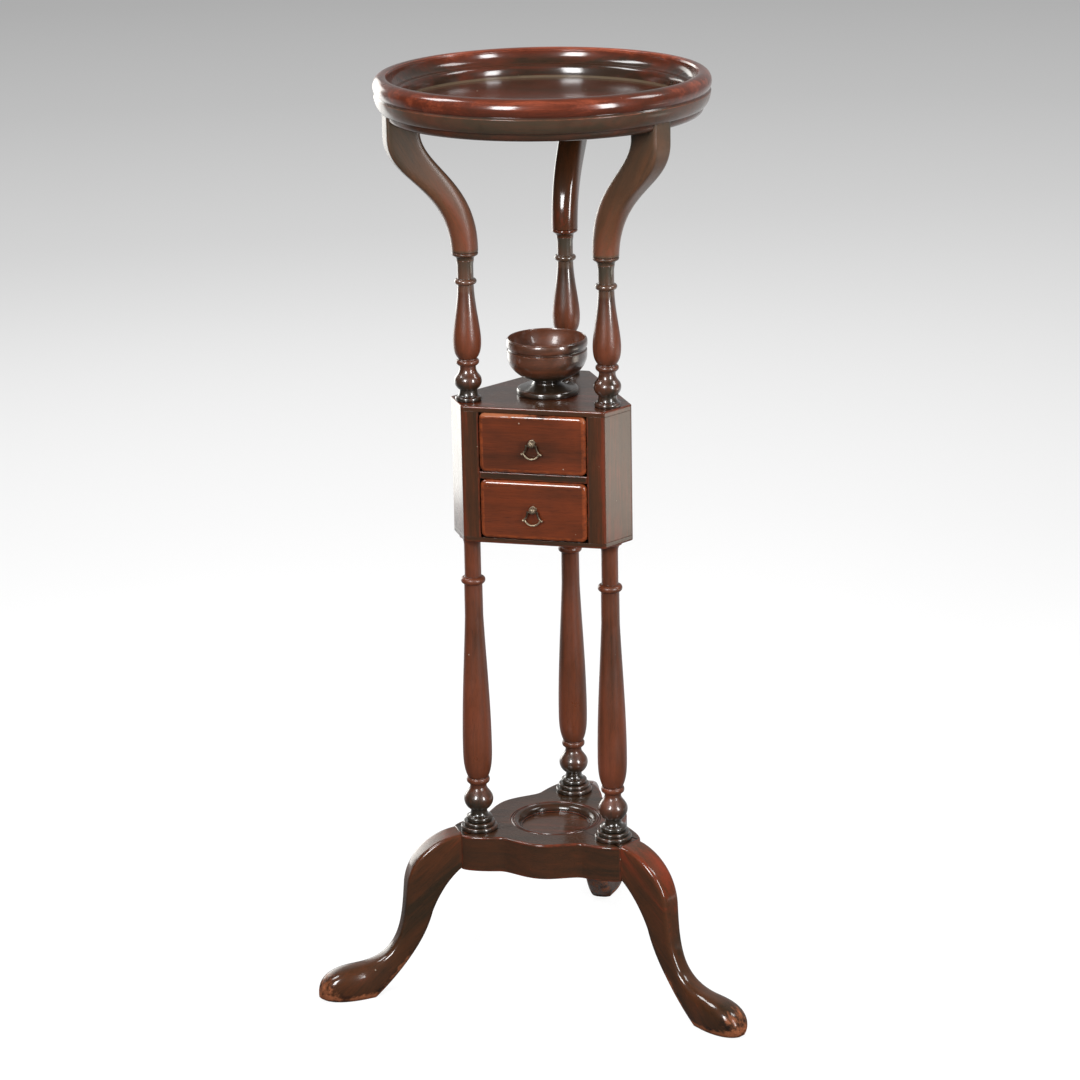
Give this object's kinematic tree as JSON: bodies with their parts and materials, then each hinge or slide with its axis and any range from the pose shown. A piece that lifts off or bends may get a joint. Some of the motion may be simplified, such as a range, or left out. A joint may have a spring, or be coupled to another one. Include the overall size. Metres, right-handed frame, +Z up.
{
  "type": "washstand",
  "caption": "Slender tripod washstand: dished basin ring on scrolled brackets and turned posts, three-cornered drawer cabinet with soap bowl, shaped platform and cabriole legs.",
  "frame": {"origin": "centre of the bounding box on the floor; the axis of the ring, bowl and platform lies 39.4 mm in front of it, at y = -0.0394", "axes": "+Z up, drawers and their pulls face -Y, rear leg points to +Y"},
  "size_m": [0.3846, 0.3612, 0.811],
  "materials": {
    "turned_mahogany": "glossy lacquered mahogany with a fine straight grain",
    "carved_mahogany": "glossy dark mahogany, worn pale at the toes and edges",
    "case_mahogany": "glossy dark olive-brown mahogany",
    "drawer_mahogany": "glossy reddish mahogany with horizontal grain",
    "drawer_lining": "bare pale secondary wood",
    "bronzed_brass": "dull aged brass"
  },
  "bodies": {
    "stand": {"basin_ring": "turned_mahogany", "basin_floor": "turned_mahogany", "scroll_bracket_left": "carved_mahogany", "scroll_bracket_right": "carved_mahogany", "scroll_bracket_rear": "carved_mahogany", "upper_post_left": "turned_mahogany", "upper_post_right": "turned_mahogany", "upper_post_rear": "turned_mahogany", "soap_bowl": "turned_mahogany", "cabinet_top": "case_mahogany", "cabinet_bottom": "case_mahogany", "corner_stile_left": "case_mahogany", "corner_stile_right": "case_mahogany", "corner_stile_rear": "case_mahogany", "side_panel_left": "case_mahogany", "side_panel_right": "case_mahogany", "drawer_rail": "case_mahogany", "dustboard": "drawer_lining", "upper_drawer_stops": "drawer_lining", "lower_drawer_stops": "drawer_lining", "lower_post_left": "turned_mahogany", "lower_post_right": "turned_mahogany", "lower_post_rear": "turned_mahogany", "platform": "case_mahogany", "leg_left": "carved_mahogany", "leg_right": "carved_mahogany", "leg_rear": "carved_mahogany"},
    "upper_drawer": {"upper_drawer_front": "drawer_mahogany", "upper_drawer_side_left": "drawer_lining", "upper_drawer_side_right": "drawer_lining", "upper_drawer_back": "drawer_lining", "upper_drawer_bottom": "drawer_lining", "upper_pull_post": "bronzed_brass", "upper_pull_nut": "bronzed_brass"},
    "lower_drawer": {"lower_drawer_front": "drawer_mahogany", "lower_drawer_side_left": "drawer_lining", "lower_drawer_side_right": "drawer_lining", "lower_drawer_back": "drawer_lining", "lower_drawer_bottom": "drawer_lining", "lower_pull_post": "bronzed_brass", "lower_pull_nut": "bronzed_brass"},
    "upper_bail": {"upper_bail": "bronzed_brass"},
    "lower_bail": {"lower_bail": "bronzed_brass"}
  },
  "joints": [
    {"name": "upper_drawer_slide", "type": "slide", "parent": "stand", "child": "upper_drawer", "axis": [0, -1, 0], "range_m": [0, 0.06]},
    {"name": "lower_drawer_slide", "type": "slide", "parent": "stand", "child": "lower_drawer", "axis": [0, -1, 0], "range_m": [0, 0.06]},
    {"name": "upper_bail_swing", "type": "hinge", "parent": "upper_drawer", "child": "upper_bail", "pos_m": [0, -0.1008, 0.5048], "axis": [-1, 0, 0], "range_deg": [-8, 160]},
    {"name": "lower_bail_swing", "type": "hinge", "parent": "lower_drawer", "child": "lower_bail", "pos_m": [0, -0.1008, 0.44655], "axis": [-1, 0, 0], "range_deg": [-8, 160]}
  ]
}
